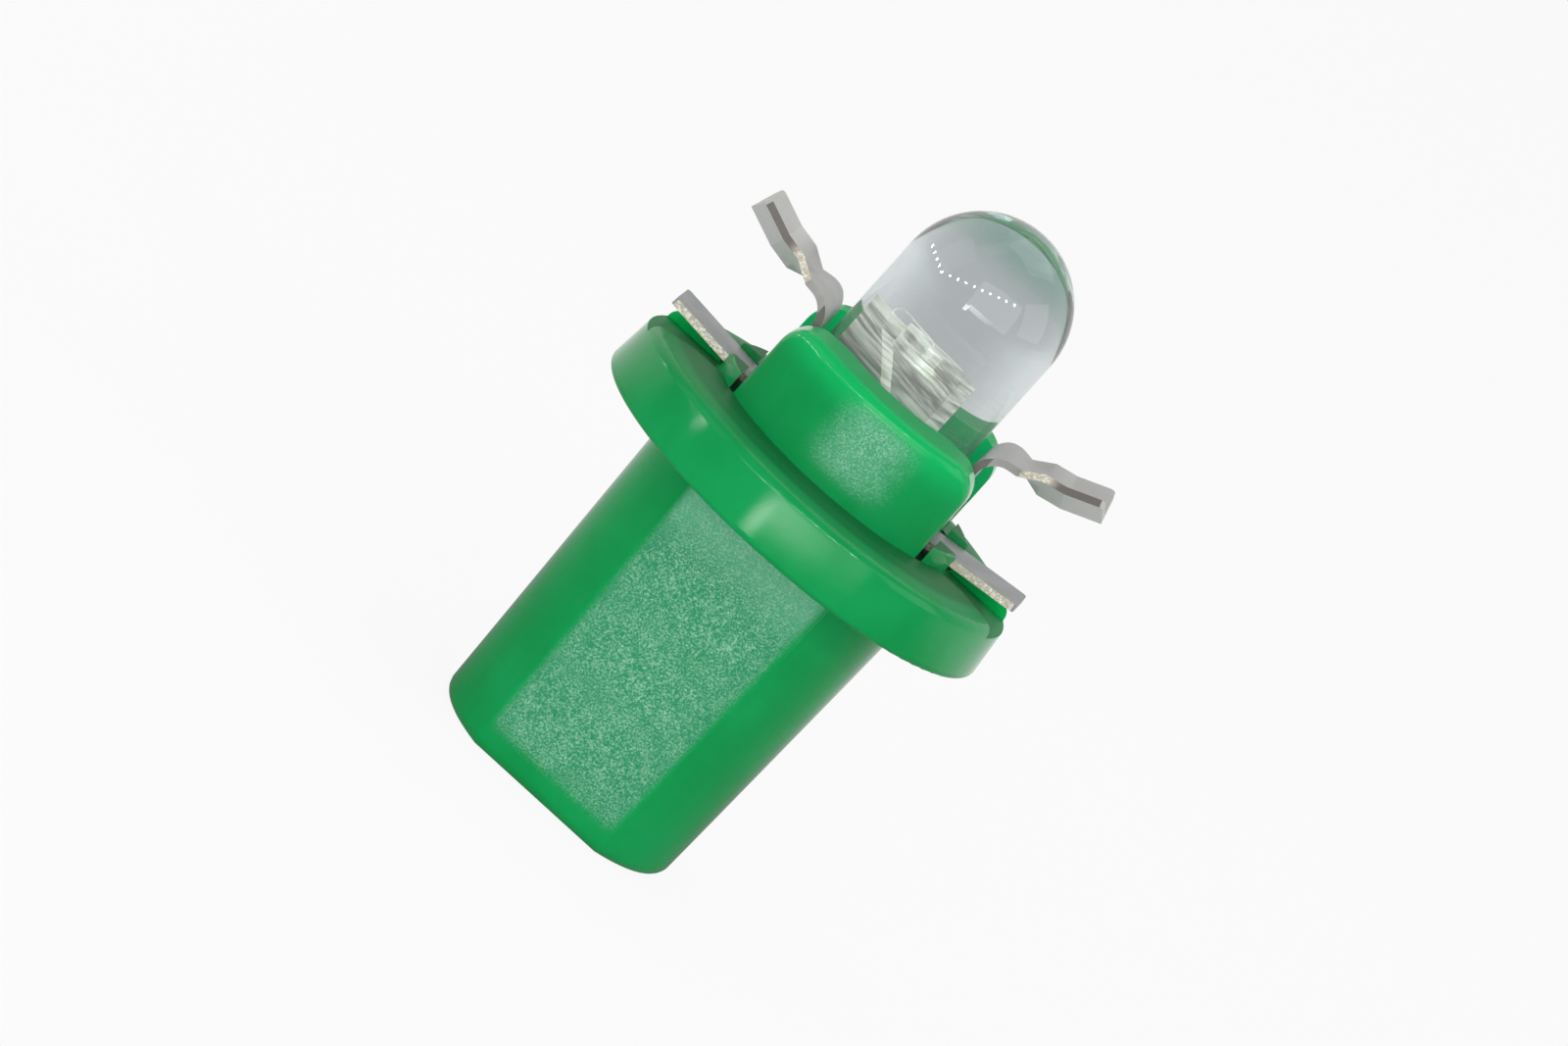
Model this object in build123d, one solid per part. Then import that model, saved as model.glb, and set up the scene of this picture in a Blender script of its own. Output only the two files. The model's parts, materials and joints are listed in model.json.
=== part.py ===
from build123d import *
from math import cos, radians, sin, tan
import os

# LED instrument lamp: a twist-lock panel lamp with a clear 5 mm LED.
# Millimetres. +Z runs from the end of the grip to the tip of the lens, the origin is the
# centre of the grip's flat end, and the two contact strips reach out along X.

# ---- moulded base -----------------------------------------------------------------------
GRIP_LENGTH = 9.83
GRIP_TOP_RADIUS = 4.25
GRIP_END_RADIUS = 3.87
GRIP_FLAT_TOP = 3.41             # axis to flat, under the flange
GRIP_FLAT_END = 3.15             # axis to flat, at the free end
GRIP_END_FILLET = 0.42
GRIP_EDGE_FILLET = 0.12          # long edges beside the flats

FLANGE_RADIUS = 6.475            # at its lower edge
FLANGE_TOP_RADIUS = 6.29         # the rim is drafted
FLANGE_THICKNESS = 1.97          # inside the seat
FLANGE_SEAT_RADIUS = 5.10        # flat part of the top, under the panel
FLANGE_TOP_FALL = 0.19           # from the seat to the rim
FLANGE_TOP_ROUND = 0.34
FLANGE_UNDER_ROUND = 0.18

BOSS_HEIGHT = 0.50               # the boss is as wide as the collar
BOSS_EDGE_FILLET = 0.10

COLLAR_RADIUS = 4.20
COLLAR_HEIGHT = 2.85             # flange top to lug top
COLLAR_HALF_WIDTH = 3.27         # axis to the flat sides
COLLAR_WEB_HEIGHT = 1.25         # flange top to the closed ring under the lugs
LUG_GAP = 3.80                   # clear width between the two lugs
LUG_CORNER_ROUND = 0.92
LUG_RIM_ROUND = 0.38

RELIEF_WIDTH = 0.18              # slot between each collar side and the boss
RELIEF_SINK = 0.20               # its depth below the flange top
POCKET_DEPTH = 0.52              # recess in the flange under each tab

CAVITY_TOP_RADIUS = 2.25
CAVITY_END_RADIUS = 2.15
CAVITY_FLOOR = 1.40              # thickness of the grip's closed end

# ---- contact strips ---------------------------------------------------------------------
STRIP_THICKNESS = 0.22
TAB_WIDTH = 1.90                 # tab and lower leg
LEG_WIDTH = 3.20                 # upper leg, between the lugs
NECK_WIDTH = 2.10                # where the leg has narrowed to the paddle
WING_WIDTH = 2.50                # paddle, measured flat
TAB_BEND_RADIUS = 0.25           # inside of the lower bend
NECK_BEND_RADIUS = 0.55          # inside of the upper bend
LEG_OUTSIDE = 2.97               # axis to the outer face of the upright leg
TAB_REACH = 6.15                 # axis to the end of the low tab
TAB_RISE = 6.0                   # degrees
TAB_CLEARANCE = 0.03             # tab root over the floor of its groove
NECK_HEIGHT = 3.30               # flange top to the middle of the neck
NECK_START = 3.05                # axis to where the leg begins to narrow
NECK_END = 3.80                  # axis to the start of the fold
PADDLE_START = 4.50              # axis to the fully folded section
PADDLE_DROP = 0.20               # keel below the neck there
PADDLE_BEND = 5.20               # axis to where the keel climbs more steeply
PADDLE_REACH = 6.28              # axis to the end of the keel
PADDLE_NEAR_RISE = 12.0          # degrees
PADDLE_FAR_RISE = 22.0           # degrees
PADDLE_FOLD = 28.0               # degrees each half turns up
STRIP_CORNER_ROUND = 0.15
SHOULDER_CLEARANCE = 0.05        # wide part of the leg over the collar's closed ring
CONTACT_SIDE_CLEARANCE = 0.08    # tab to groove wall
POCKET_SIDE_CLEARANCE = 0.70     # tab to pocket wall

# ---- LED --------------------------------------------------------------------------------
LENS_RADIUS = 2.50
LENS_LENGTH = 7.56               # flat bottom to tip of dome
LENS_CLEARANCE = 0.05            # lens to collar bore
LENS_SEAT_HEIGHT = 0.75          # flange top to the lens seat
FRAME_TWIST = -46.0              # degrees, lead frame about the axis
FRAME_THICKNESS = 0.42
FRAME_HEIGHT = 3.50              # lens bottom to the top of the anvil
FRAME_FOOT = 1.25                # lens bottom to the shoulders
FRAME_SHOULDER = 2.80            # lens bottom to the start of the slanted gap
FRAME_GAP = 0.34                 # between anvil and post
POST_STEP = 0.22                 # post below anvil
POST_HEAD_WIDTH = 0.42
POST_FOOT_REACH = 0.05           # axis to the inner end of the post's foot
LEAD_PITCH = 2.54
LEAD_WIDTH = 0.45
LEAD_DROP = 0.53                 # lens bottom to the middle of the bent lead
LEAD_BEND_RADIUS = 0.30
LEAD_LEG_GAP = 0.13              # end of a lead to the contact leg
LEAD_JOIN_OFFSET = 0.50          # end of a lead to the middle of the leg
CUP_OFFSET = -0.10               # axis to the cup, towards the post
CUP_HEAD_RADIUS = 0.62
CUP_HEAD_DEPTH = 0.70
CUP_TOP_RADIUS = 0.50
CUP_FLOOR_RADIUS = 0.28
CUP_DEPTH = 0.40
DIE_WIDTH = 0.30
DIE_HEIGHT = 0.12
DIE_ATTACH_WIDTH = 0.36
DIE_ATTACH_THICKNESS = 0.03
BOND_WIRE_RADIUS = 0.02
BOND_WIRE_RISE = 0.07            # top of its loop above the anvil

# ---- series resistor --------------------------------------------------------------------
RESISTOR_OFFSET = 0.35
RESISTOR_BASE = 3.60             # grip end to its lower face
RESISTOR_LENGTH = 3.60
RESISTOR_BODY_RADIUS = 0.80
RESISTOR_CAP_RADIUS = 0.88
RESISTOR_CAP_LENGTH = 0.50
WIRE_RADIUS = 0.22
WIRE_BEND_RADIUS = 0.40
RETURN_WIRE_OFFSET = 1.60        # axis to the wire that climbs the cavity wall
RETURN_WIRE_DROP = 1.20          # below the resistor
JOINT_WIRE_GAP = 0.04            # resistor wire beside the LED lead
JOINT_LAP = 1.00                 # length that the two lie side by side
JOINT_HEIGHT = 9.30              # grip end to the cut end of the LED lead
JOINT_JOG = 0.90                 # below it, where the wire steps to the lead's side
SOLDER_RADIUS = 0.42

# ---- levels and places that follow ------------------------------------------------------
FLANGE_TOP = GRIP_LENGTH + FLANGE_THICKNESS
BOSS_TOP = FLANGE_TOP + BOSS_HEIGHT
COLLAR_TOP = FLANGE_TOP + COLLAR_HEIGHT
WEB_TOP = FLANGE_TOP + COLLAR_WEB_HEIGHT
SHOULDER_LEVEL = WEB_TOP + SHOULDER_CLEARANCE
LENS_BOTTOM = FLANGE_TOP + LENS_SEAT_HEIGHT
DOME_CENTRE = LENS_BOTTOM + LENS_LENGTH - LENS_RADIUS
BORE_RADIUS = LENS_RADIUS + LENS_CLEARANCE
LEG_MIDDLE = LEG_OUTSIDE - STRIP_THICKNESS / 2
LEG_INSIDE = LEG_OUTSIDE - STRIP_THICKNESS
NECK_LEVEL = FLANGE_TOP + NECK_HEIGHT
LEAD_LEVEL = LENS_BOTTOM - LEAD_DROP
GROOVE_FLOOR = LEAD_LEVEL - LEAD_WIDTH / 2 - TAB_CLEARANCE
TAB_ROOT_LEVEL = GROOVE_FLOOR + TAB_CLEARANCE + STRIP_THICKNESS / 2
GROOVE_WIDTH = TAB_WIDTH + 2 * CONTACT_SIDE_CLEARANCE
POCKET_WIDTH = TAB_WIDTH + 2 * POCKET_SIDE_CLEARANCE
LEAD_X = LEAD_PITCH / 2 * cos(radians(FRAME_TWIST))
LEAD_Y = LEAD_PITCH / 2 * sin(radians(FRAME_TWIST))
LEAD_END = LEG_INSIDE - LEAD_LEG_GAP
EPS = 0.01                       # overrun of a cutting tool past the face it opens
STAND = (Align.CENTER, Align.CENTER, Align.MIN)


def on_axis(shape, level):
    """Stand a shape on the lamp's axis with its base at the given level."""
    return Pos(0, 0, level) * shape


def disc(radius, bottom, top):
    """An upright cylinder on the axis between two levels."""
    return on_axis(Cylinder(radius, top - bottom, align=STAND), bottom)


def slab(x_size, y_size, bottom, top, x=0.0, y=0.0):
    """An upright block between two levels, centred on x and y."""
    return Pos(x, y, bottom) * Box(x_size, y_size, top - bottom, align=STAND)


def polygon(plane, points):
    """A flat face on a plane from its corner points."""
    return plane * make_face(Polyline(*points, close=True))


# ---- moulded base -----------------------------------------------------------------------
def grip():
    """Tapered round handle with two drafted flats and a rounded end."""
    cone = Cone(GRIP_END_RADIUS, GRIP_TOP_RADIUS, GRIP_LENGTH, align=STAND)
    wedge_points = [
        (-GRIP_FLAT_END, 0),
        (GRIP_FLAT_END, 0),
        (GRIP_FLAT_TOP, GRIP_LENGTH),
        (-GRIP_FLAT_TOP, GRIP_LENGTH),
    ]
    wedge = extrude(polygon(Plane.YZ, wedge_points), 2 * GRIP_TOP_RADIUS, both=True)
    body = cone & wedge
    corners = body.edges().filter_by(
        lambda edge: edge.length > GRIP_LENGTH and edge.bounding_box().size.Z > GRIP_LENGTH - EPS
    )
    body = fillet(corners, GRIP_EDGE_FILLET)
    end_face = body.faces().sort_by(Axis.Z)[0]
    return fillet(end_face.edges(), GRIP_END_FILLET)


def flange():
    """Round flange: flat seat, top falling to a rounded edge, and a drafted rim."""
    rim_height = FLANGE_THICKNESS - FLANGE_TOP_FALL
    rim = Cone(FLANGE_RADIUS, FLANGE_TOP_RADIUS, rim_height, align=STAND)
    fall = Cone(FLANGE_TOP_RADIUS, FLANGE_SEAT_RADIUS, FLANGE_TOP_FALL, align=STAND)
    plate = on_axis(rim, GRIP_LENGTH) + on_axis(fall, GRIP_LENGTH + rim_height)
    rims = plate.edges().filter_by(GeomType.CIRCLE).sort_by(Axis.Z)
    plate = fillet(rims[1], FLANGE_TOP_ROUND)
    rims = plate.edges().filter_by(GeomType.CIRCLE).sort_by(Axis.Z)
    return fillet(rims[0], FLANGE_UNDER_ROUND)


def boss():
    """Low round boss that centres the lamp under the panel."""
    ring = disc(COLLAR_RADIUS, FLANGE_TOP, BOSS_TOP)
    rims = ring.edges().filter_by(GeomType.CIRCLE).sort_by(Axis.Z)
    return fillet(rims[-1], BOSS_EDGE_FILLET)


def collar():
    """Flat-sided collar: a closed ring that carries two upright lugs."""
    blank = disc(COLLAR_RADIUS, FLANGE_TOP, COLLAR_TOP)
    blank &= slab(2 * COLLAR_HALF_WIDTH, 3 * COLLAR_RADIUS, FLANGE_TOP, COLLAR_TOP)
    top_edges = blank.edges().filter_by(lambda edge: edge.center().Z > COLLAR_TOP - EPS)
    side_edges = top_edges.filter_by(GeomType.LINE)
    blank = fillet(side_edges, LUG_CORNER_ROUND)
    rim_edges = blank.edges().filter_by(lambda edge: edge.center().Z > COLLAR_TOP - EPS)
    blank = fillet(rim_edges.filter_by(GeomType.CIRCLE), LUG_RIM_ROUND)
    window = slab(3 * COLLAR_HALF_WIDTH, LUG_GAP, WEB_TOP, COLLAR_TOP + EPS)
    return blank - window


def base_holder():
    """The whole green moulding, with its bore, cavity, grooves and pockets."""
    body = grip() + flange() + boss() + collar()
    body -= disc(BORE_RADIUS, LENS_BOTTOM, COLLAR_TOP + EPS)
    cavity_depth = LENS_BOTTOM + EPS - CAVITY_FLOOR
    body -= on_axis(
        Cone(CAVITY_END_RADIUS, CAVITY_TOP_RADIUS, cavity_depth, align=STAND), CAVITY_FLOOR
    )
    body -= slab(3 * COLLAR_RADIUS, GROOVE_WIDTH, GROOVE_FLOOR, WEB_TOP + EPS)
    boss_disc = disc(COLLAR_RADIUS, GRIP_LENGTH, BOSS_TOP + EPS)
    relief_x = COLLAR_HALF_WIDTH + RELIEF_WIDTH / 2
    pockets = slab(3 * FLANGE_RADIUS, POCKET_WIDTH, FLANGE_TOP - POCKET_DEPTH, FLANGE_TOP + EPS)
    body -= pockets - boss_disc
    for side in (-1, 1):
        relief = slab(
            RELIEF_WIDTH,
            2 * COLLAR_RADIUS,
            FLANGE_TOP - RELIEF_SINK,
            BOSS_TOP + EPS,
            x=side * relief_x,
        )
        body -= relief & boss_disc
    return body


# ---- contact strips ---------------------------------------------------------------------
def across_strip(x, z, rise):
    """The plane of a cross-section where the strip climbs outwards at an angle."""
    along = Vector(cos(radians(rise)), 0, sin(radians(rise)))
    return Plane((x, 0, z), x_dir=(0, 1, 0), z_dir=along)


def strip_section(plane, width, fold):
    """The wing's cross-section: flat at fold 0, else a shallow open V."""
    half_sheet = STRIP_THICKNESS / 2
    half_width = width / 2
    keel = half_sheet / cos(radians(fold))
    reach = half_width * cos(radians(fold))
    lift = half_width * sin(radians(fold))
    lean = half_sheet * sin(radians(fold))
    rise = half_sheet * cos(radians(fold))
    return polygon(
        plane,
        [
            (-reach - lean, lift - rise),
            (0, -keel),
            (reach + lean, lift - rise),
            (reach - lean, lift + rise),
            (0, keel),
            (-reach + lean, lift + rise),
        ],
    )


def round_corners(sheet, beyond):
    """Round the free corners of a strip end that lies past a distance from the axis."""
    corners = sheet.edges().filter_by(
        lambda edge: edge.center().X > beyond
        and abs(edge.center().Y) > TAB_WIDTH / 4
        and abs(edge.length - STRIP_THICKNESS) < EPS
    )
    return fillet(corners, STRIP_CORNER_ROUND)


def folded_paddle():
    """The outer half of a wing: it widens and folds along a keel."""
    keel_level = NECK_LEVEL - PADDLE_DROP
    bend_level = keel_level + (PADDLE_BEND - PADDLE_START) * tan(radians(PADDLE_NEAR_RISE))
    tip_level = bend_level + (PADDLE_REACH - PADDLE_BEND) * tan(radians(PADDLE_FAR_RISE))
    middle_rise = (PADDLE_NEAR_RISE + PADDLE_FAR_RISE) / 2
    folded_places = [
        (PADDLE_START, keel_level, PADDLE_NEAR_RISE),
        (PADDLE_BEND, bend_level, middle_rise),
        (PADDLE_REACH, tip_level, PADDLE_FAR_RISE),
    ]
    sections = [strip_section(across_strip(NECK_END, NECK_LEVEL, 0), NECK_WIDTH, 0)]
    for x, z, rise in folded_places:
        sections.append(strip_section(across_strip(x, z, rise), WING_WIDTH, PADDLE_FOLD))
    sheet = loft(sections, ruled=True)
    return round_corners(sheet, PADDLE_REACH - STRIP_THICKNESS)


def strip_along(points, width, bend_radius):
    """Flat strip of one width along straight runs with rounded bends."""
    route = FilletPolyline(
        *[(x, 0, z) for x, z in points], radius=bend_radius + STRIP_THICKNESS / 2
    )
    start = Plane(route @ 0, x_dir=(0, 1, 0), z_dir=route % 0)
    return sweep(start * Rectangle(width, STRIP_THICKNESS), path=route)


def contact():
    """One strip: low tab over the flange, stepped leg, neck and folded wing."""
    foot = TAB_ROOT_LEVEL
    tab_tip = foot + (TAB_REACH - LEG_MIDDLE) * tan(radians(TAB_RISE))
    tab = strip_along(
        [(TAB_REACH, tab_tip), (LEG_MIDDLE, foot), (LEG_MIDDLE, SHOULDER_LEVEL)],
        TAB_WIDTH,
        TAB_BEND_RADIUS,
    )
    neck = strip_along(
        [(LEG_MIDDLE, SHOULDER_LEVEL), (LEG_MIDDLE, NECK_LEVEL), (NECK_END, NECK_LEVEL)],
        LEG_WIDTH,
        NECK_BEND_RADIUS,
    )
    neck_plan = [
        (0, -LEG_WIDTH / 2),
        (NECK_START, -LEG_WIDTH / 2),
        (NECK_END, -NECK_WIDTH / 2),
        (NECK_END, NECK_WIDTH / 2),
        (NECK_START, LEG_WIDTH / 2),
        (0, LEG_WIDTH / 2),
    ]
    neck &= extrude(polygon(Plane.XY, neck_plan), 2 * COLLAR_TOP)
    return round_corners(tab, TAB_REACH - STRIP_THICKNESS) + neck + folded_paddle()


# ---- LED --------------------------------------------------------------------------------
def in_frame(shape):
    """Turn a shape from the lead frame's own axes to the lamp's."""
    return Rot(0, 0, FRAME_TWIST) * shape


def frame_plate(points):
    """A flat stamping of the lead frame from its outline in the frame's plane."""
    face = polygon(Plane.XZ, points)
    return in_frame(extrude(face, FRAME_THICKNESS / 2, both=True))


def lead(side, end_level):
    """Square lead below one side of the frame, down to a level."""
    x = side * LEAD_X
    y = side * LEAD_Y
    return slab(LEAD_WIDTH, LEAD_WIDTH, end_level, LENS_BOTTOM + FRAME_FOOT, x=x, y=y)


def anvil():
    """Cathode side: cup head, wide plate and the lead that bends to the contact."""
    top = LENS_BOTTOM + FRAME_HEIGHT
    shoulder = LENS_BOTTOM + FRAME_SHOULDER
    foot = LENS_BOTTOM + FRAME_FOOT
    outer = (LEAD_PITCH + LEAD_WIDTH) / 2
    inner_top = POST_HEAD_WIDTH + FRAME_GAP - outer
    inner_foot = POST_FOOT_REACH + FRAME_GAP
    plate = frame_plate(
        [
            (inner_top, top),
            (outer, top),
            (outer, foot),
            (inner_foot, foot),
            (inner_top, shoulder),
        ]
    )
    head_bottom = top - CUP_HEAD_DEPTH
    head = Pos(CUP_OFFSET, 0, head_bottom) * Cylinder(CUP_HEAD_RADIUS, CUP_HEAD_DEPTH, align=STAND)
    cup = Pos(CUP_OFFSET, 0, top - CUP_DEPTH) * Cone(
        CUP_FLOOR_RADIUS, CUP_TOP_RADIUS, CUP_DEPTH, align=STAND
    )
    route = FilletPolyline(
        (LEAD_X, LEAD_Y, LENS_BOTTOM + FRAME_FOOT),
        (LEAD_X, LEAD_Y, LEAD_LEVEL),
        (LEAD_END, -LEAD_JOIN_OFFSET, LEAD_LEVEL),
        radius=LEAD_BEND_RADIUS,
    )
    sideways = (LEAD_Y + LEAD_JOIN_OFFSET, LEAD_END - LEAD_X, 0)
    start = Plane(route @ 0, x_dir=sideways, z_dir=route % 0)
    wire = sweep(start * Rectangle(LEAD_WIDTH, LEAD_WIDTH), path=route)
    return plate + in_frame(head) - in_frame(cup) + wire


def post():
    """Anode side: wire-bond pad, slanted foot and the lead down into the grip."""
    top = LENS_BOTTOM + FRAME_HEIGHT - POST_STEP
    shoulder = LENS_BOTTOM + FRAME_SHOULDER
    foot = LENS_BOTTOM + FRAME_FOOT
    outer = -(LEAD_PITCH + LEAD_WIDTH) / 2
    plate = frame_plate(
        [
            (outer, top),
            (outer + POST_HEAD_WIDTH, top),
            (outer + POST_HEAD_WIDTH, shoulder),
            (POST_FOOT_REACH, foot),
            (outer, foot),
        ]
    )
    return plate + lead(-1, JOINT_HEIGHT)


def die_attach():
    """Film of conductive glue on the cup floor."""
    floor = LENS_BOTTOM + FRAME_HEIGHT - CUP_DEPTH
    film = Box(DIE_ATTACH_WIDTH, DIE_ATTACH_WIDTH, DIE_ATTACH_THICKNESS, align=STAND)
    return in_frame(Pos(CUP_OFFSET, 0, floor) * film)


def die():
    """The light-emitting chip on its glue."""
    level = LENS_BOTTOM + FRAME_HEIGHT - CUP_DEPTH + DIE_ATTACH_THICKNESS
    return in_frame(Pos(CUP_OFFSET, 0, level) * Box(DIE_WIDTH, DIE_WIDTH, DIE_HEIGHT, align=STAND))


def bond_wire():
    """Fine wire that loops from the chip to the pad on the post."""
    chip_top = LENS_BOTTOM + FRAME_HEIGHT - CUP_DEPTH + DIE_ATTACH_THICKNESS + DIE_HEIGHT
    post_top = LENS_BOTTOM + FRAME_HEIGHT - POST_STEP
    loop_top = LENS_BOTTOM + FRAME_HEIGHT + BOND_WIRE_RISE
    pad = -LEAD_PITCH / 2
    loop = Spline(
        (CUP_OFFSET, 0, chip_top),
        ((CUP_OFFSET + pad) / 2, 0, loop_top),
        (pad, 0, post_top),
        tangents=[(0, 0, 1), (0, 0, -1)],
    )
    start = Plane(loop @ 0, z_dir=loop % 0)
    wire = sweep(start * Circle(BOND_WIRE_RADIUS), path=loop)
    return in_frame(wire)


def lens(inner_pieces):
    """Clear epoxy body, moulded round the frame, the chip and its wire."""
    body = disc(LENS_RADIUS, LENS_BOTTOM, DOME_CENTRE)
    body += on_axis(Sphere(LENS_RADIUS), DOME_CENTRE)
    for piece in inner_pieces:
        body -= piece
    return body


# ---- series resistor --------------------------------------------------------------------
def resistor_body():
    """Lacquered ceramic rod between the caps."""
    level = RESISTOR_BASE + RESISTOR_CAP_LENGTH
    length = RESISTOR_LENGTH - 2 * RESISTOR_CAP_LENGTH
    rod = Cylinder(RESISTOR_BODY_RADIUS, length, align=STAND)
    return Pos(RESISTOR_OFFSET, -LEAD_Y, level) * rod


def resistor_cap(level):
    """Pressed metal cap at one end of the rod."""
    cap = Cylinder(RESISTOR_CAP_RADIUS, RESISTOR_CAP_LENGTH, align=STAND)
    return Pos(RESISTOR_OFFSET, -LEAD_Y, level) * cap


def wire_along(points):
    """Round wire along straight runs with rounded bends."""
    route = FilletPolyline(*points, radius=WIRE_BEND_RADIUS)
    start = Plane(route @ 0, z_dir=route % 0)
    return sweep(start * Circle(WIRE_RADIUS), path=route)


def resistor_lead_upper():
    """Short wire that laps the cut LED lead."""
    beside = -LEAD_X + LEAD_WIDTH / 2 + JOINT_WIRE_GAP + WIRE_RADIUS
    jog = JOINT_HEIGHT - JOINT_JOG
    return wire_along(
        [
            (RESISTOR_OFFSET, -LEAD_Y, RESISTOR_BASE + RESISTOR_LENGTH),
            (RESISTOR_OFFSET, -LEAD_Y, jog),
            (beside, -LEAD_Y, jog),
            (beside, -LEAD_Y, JOINT_HEIGHT + JOINT_LAP),
        ]
    )


def resistor_lead_lower():
    """Wire that turns under the resistor and climbs to the other contact."""
    turn = RESISTOR_BASE - RETURN_WIRE_DROP
    return wire_along(
        [
            (RESISTOR_OFFSET, -LEAD_Y, RESISTOR_BASE),
            (RESISTOR_OFFSET, -LEAD_Y, turn),
            (-RETURN_WIRE_OFFSET, -LEAD_Y, turn),
            (-RETURN_WIRE_OFFSET, -LEAD_Y, LEAD_LEVEL),
            (-LEAD_END, LEAD_JOIN_OFFSET, LEAD_LEVEL),
        ]
    )


def solder(x, y, z, neighbours):
    """A blob of solder that fills round the pieces that it joins."""
    blob = Pos(x, y, z) * Sphere(SOLDER_RADIUS)
    for piece in neighbours:
        blob -= piece
    return blob.solids().sort_by(SortBy.VOLUME)[-1]


def build():
    """Every piece by the name of its node."""
    base = base_holder()
    contact_right = contact()
    contact_left = contact_right.mirror(Plane.YZ)
    led_anvil = anvil()
    led_post = post()
    led_die = die()
    led_die_attach = die_attach()
    led_bond_wire = bond_wire()
    led_parts = [led_anvil, led_post, led_die, led_die_attach, led_bond_wire]
    led_lens = lens(led_parts)
    upper = resistor_lead_upper()
    lower = resistor_lead_lower()
    middle_x = -LEAD_X + LEAD_WIDTH / 2
    middle_z = JOINT_HEIGHT + JOINT_LAP / 2
    return {
        "base_holder": base,
        "contact_left": contact_left,
        "contact_right": contact_right,
        "led_lens": led_lens,
        "led_anvil": led_anvil,
        "led_post": led_post,
        "led_die": led_die,
        "led_die_attach": led_die_attach,
        "led_bond_wire": led_bond_wire,
        "resistor_body": resistor_body(),
        "resistor_cap_lower": resistor_cap(RESISTOR_BASE),
        "resistor_cap_upper": resistor_cap(RESISTOR_BASE + RESISTOR_LENGTH - RESISTOR_CAP_LENGTH),
        "resistor_lead_lower": lower,
        "resistor_lead_upper": upper,
        "solder_right": solder(
            LEAD_END, -LEAD_JOIN_OFFSET, LEAD_LEVEL, [led_anvil, contact_right, base, led_lens]
        ),
        "solder_left": solder(
            -LEAD_END, LEAD_JOIN_OFFSET, LEAD_LEVEL, [lower, contact_left, base, led_lens]
        ),
        "solder_middle": solder(middle_x, -LEAD_Y, middle_z, [led_post, upper, lower, base]),
    }


os.makedirs("parts", exist_ok=True)
for node, solid in build().items():
    export_step(solid, f"parts/{node}.step")
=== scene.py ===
import json
from math import asin, atan2, cos, degrees, pi, radians, sin

import bmesh
import bpy
from mathutils import Matrix, Vector


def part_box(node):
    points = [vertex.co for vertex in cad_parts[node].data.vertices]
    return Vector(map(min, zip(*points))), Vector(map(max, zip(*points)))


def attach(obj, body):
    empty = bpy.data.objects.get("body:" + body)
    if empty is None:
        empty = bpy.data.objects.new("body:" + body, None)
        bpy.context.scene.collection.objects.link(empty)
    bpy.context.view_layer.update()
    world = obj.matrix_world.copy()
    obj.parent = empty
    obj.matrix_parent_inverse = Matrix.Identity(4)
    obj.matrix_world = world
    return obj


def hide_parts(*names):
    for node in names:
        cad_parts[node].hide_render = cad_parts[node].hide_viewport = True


# Looks, stage and camera of the LED instrument lamp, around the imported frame. Everything is in
# metres in the lamp's own frame: +Z to the tip of the lens, the camera on the -Y side. Colours
# are linear red, green and blue.
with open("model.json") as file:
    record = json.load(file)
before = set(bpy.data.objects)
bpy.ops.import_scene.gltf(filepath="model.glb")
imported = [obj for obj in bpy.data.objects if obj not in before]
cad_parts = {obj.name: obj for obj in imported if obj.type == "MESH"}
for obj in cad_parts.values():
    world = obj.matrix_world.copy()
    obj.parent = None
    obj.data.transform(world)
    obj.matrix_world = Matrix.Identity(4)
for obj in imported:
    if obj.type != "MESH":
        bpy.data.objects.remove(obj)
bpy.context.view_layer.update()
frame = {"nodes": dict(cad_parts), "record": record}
MM = 0.001


# ---- places read from the frame ---------------------------------------------------------
def extent(node):
    """Lowest and highest corner of a node as vectors."""
    low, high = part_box(node)
    return Vector(low), Vector(high)


LENS_LOW, LENS_HIGH = extent("led_lens")
LENS_RADIUS = (LENS_HIGH.x - LENS_LOW.x) / 2
DOME_LEVEL = LENS_HIGH.z - LENS_RADIUS
COLLAR_TOP = extent("base_holder")[1].z
FLANGE_TOP = frame["record"]["mounts"][0]["pos_m"][2]
FLANGE_THICKNESS = 1.97 * MM
FLANGE_BOTTOM = FLANGE_TOP - FLANGE_THICKNESS


# ---- node helpers -----------------------------------------------------------------------
def add(tree, kind, **settings):
    """Add a node and set its properties."""
    node = tree.nodes.new(kind)
    for name, value in settings.items():
        setattr(node, name, value)
    return node


def give(tree, socket, value):
    """Link a socket to an input, or set the input to a plain value."""
    if isinstance(value, bpy.types.NodeSocket):
        tree.links.new(value, socket)
    else:
        socket.default_value = value


def feed(tree, node, **values):
    """Give a node its inputs by name: underscores stand for spaces."""
    for name, value in values.items():
        give(tree, node.inputs[name.replace("_", " ")], value)
    return node


def math_node(tree, operation, first, second=0.0, clamp=False):
    """The result of a Math node on two values."""
    node = add(tree, "ShaderNodeMath", operation=operation, use_clamp=clamp)
    give(tree, node.inputs[0], first)
    give(tree, node.inputs[1], second)
    return node.outputs[0]


def product(tree, value, *others):
    """Values multiplied together."""
    for other in others:
        value = math_node(tree, "MULTIPLY", value, other)
    return value


def total(tree, value, *others, clamp=False):
    """Values added together, each sum kept from 0 to 1 where clamp is set."""
    for other in others:
        value = math_node(tree, "ADD", value, other, clamp=clamp)
    return value


def less(tree, value, part, clamp=False):
    """A value less a part of it."""
    return math_node(tree, "SUBTRACT", value, part, clamp=clamp)


def larger(tree, first, second):
    """The larger of two values."""
    return math_node(tree, "MAXIMUM", first, second)


def absolute(tree, value):
    """A value without its sign."""
    return math_node(tree, "ABSOLUTE", value)


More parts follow.
